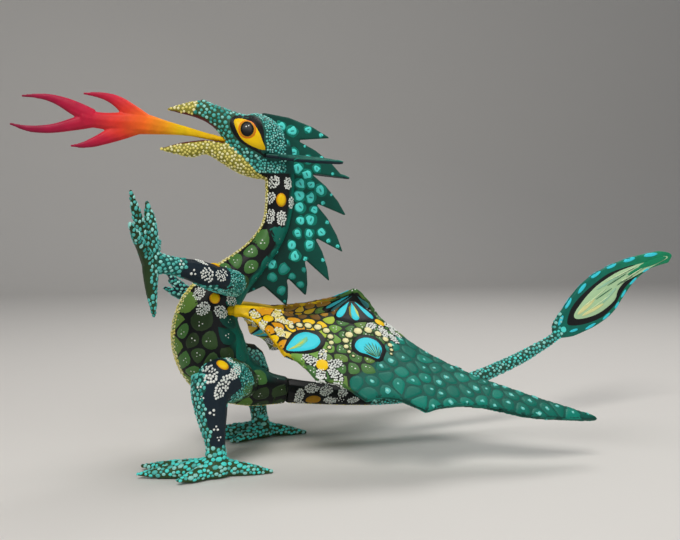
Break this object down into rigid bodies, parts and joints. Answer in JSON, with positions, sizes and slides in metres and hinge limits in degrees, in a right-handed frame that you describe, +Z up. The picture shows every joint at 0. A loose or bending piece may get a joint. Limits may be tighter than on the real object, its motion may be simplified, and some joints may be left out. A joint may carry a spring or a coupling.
{
  "type": "alebrije figure",
  "caption": "Carved and painted wooden dragon standing on two clawed feet, with peg-fitted wings, ears, leaf-tipped tail and a forked flame in its open mouth.",
  "frame": {"origin": "on the standing surface, under the middle of the figure's bounding box", "axes": "the dragon faces -X, its tail runs to +X, its left side is -Y and +Z is up"},
  "size_m": [0.4692, 0.1777, 0.2224],
  "materials": {
    "body_paint": "acrylic paint in olive, green and cream dots and scales under a satin varnish",
    "crest_paint": "teal acrylic with turquoise blots, satin",
    "limb_paint": "dark green acrylic covered in turquoise dots, satin",
    "wing_paint": "yellow, green and teal scales with dotted flowers, satin",
    "tail_paint": "dark green acrylic with turquoise dots and a pale green leaf, satin",
    "flame_paint": "yellow to orange to crimson acrylic blend, satin",
    "ear_paint": "dark teal acrylic, satin"
  },
  "bodies": {
    "dragon": {"body": "body_paint", "crest": "crest_paint", "leg_left": "limb_paint", "leg_right": "limb_paint", "arm_left": "limb_paint", "arm_right": "limb_paint"},
    "left_wing": {"wing_left": "wing_paint"},
    "right_wing": {"wing_right": "wing_paint"},
    "tail_piece": {"tail": "tail_paint"},
    "flame_piece": {"flame": "flame_paint"},
    "left_ear": {"ear_left": "ear_paint"},
    "right_ear": {"ear_right": "ear_paint"}
  },
  "joints": [
    {"name": "left_wing_pull", "type": "slide", "parent": "dragon", "child": "left_wing", "axis": [0.6651, -0.7462, 0.0289], "range_m": [0, 0.02]},
    {"name": "right_wing_pull", "type": "slide", "parent": "dragon", "child": "right_wing", "axis": [0.6651, 0.7462, 0.0289], "range_m": [0, 0.02]},
    {"name": "tail_pull", "type": "slide", "parent": "dragon", "child": "tail_piece", "axis": [1, 0, 0], "range_m": [0, 0.013]},
    {"name": "flame_pull", "type": "slide", "parent": "dragon", "child": "flame_piece", "axis": [-0.9847, 0, 0.174], "range_m": [0, 0.014]},
    {"name": "left_ear_pull", "type": "slide", "parent": "dragon", "child": "left_ear", "axis": [0.9276, -0.3595, -0.102], "range_m": [0, 0.01]},
    {"name": "right_ear_pull", "type": "slide", "parent": "dragon", "child": "right_ear", "axis": [0.9619, 0.2405, -0.1303], "range_m": [0, 0.01]}
  ]
}
